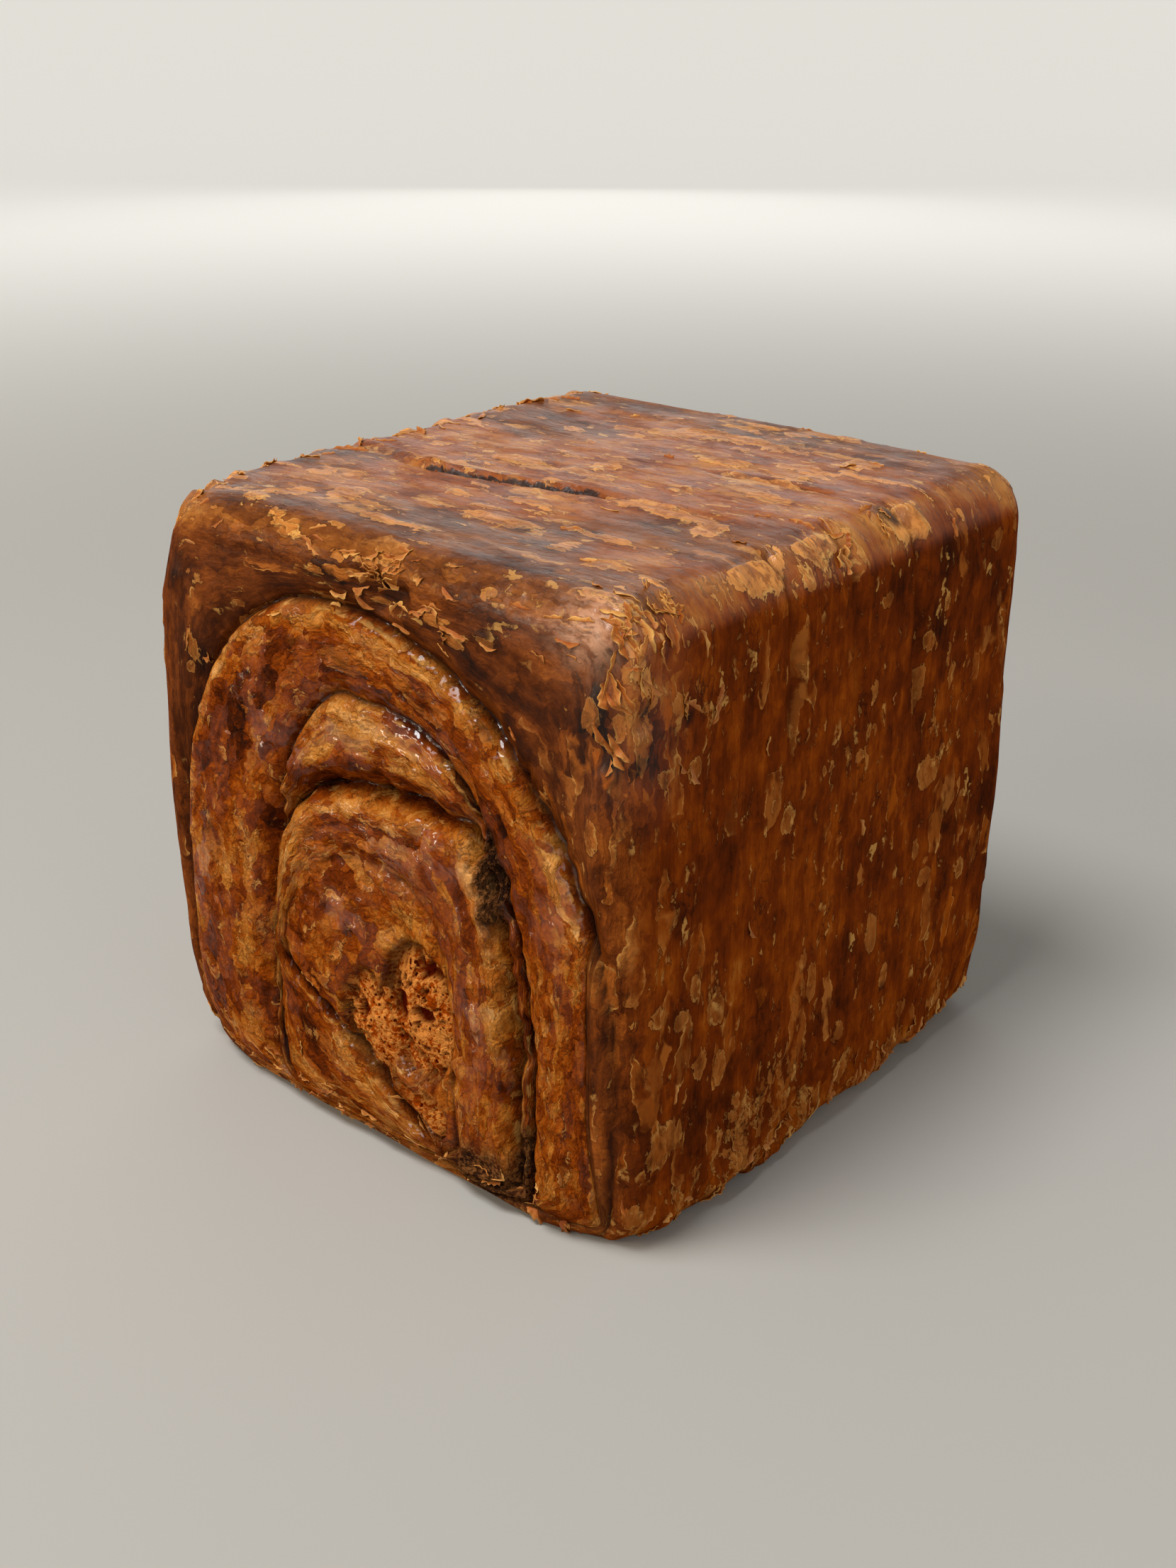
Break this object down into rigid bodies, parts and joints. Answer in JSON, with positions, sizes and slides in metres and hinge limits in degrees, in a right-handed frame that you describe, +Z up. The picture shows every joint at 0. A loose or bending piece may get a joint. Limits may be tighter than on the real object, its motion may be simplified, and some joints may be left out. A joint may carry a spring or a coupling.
{
  "type": "croissant loaf",
  "caption": "Cube-shaped croissant loaf of rolled laminated dough with coiled ends, flaky browned crust and a flat base to stand on.",
  "frame": {"origin": "centre of the base on the surface that the loaf stands on", "axes": "+Z up, +Y along the roll from the shown coiled end to the far one, +X to the right of the shown coiled end"},
  "size_m": [0.1196, 0.1224, 0.116],
  "materials": {
    "crust": "baked crust, satin with glossy patches"
  },
  "bodies": {
    "root": {"loaf": "crust"}
  },
  "joints": []
}
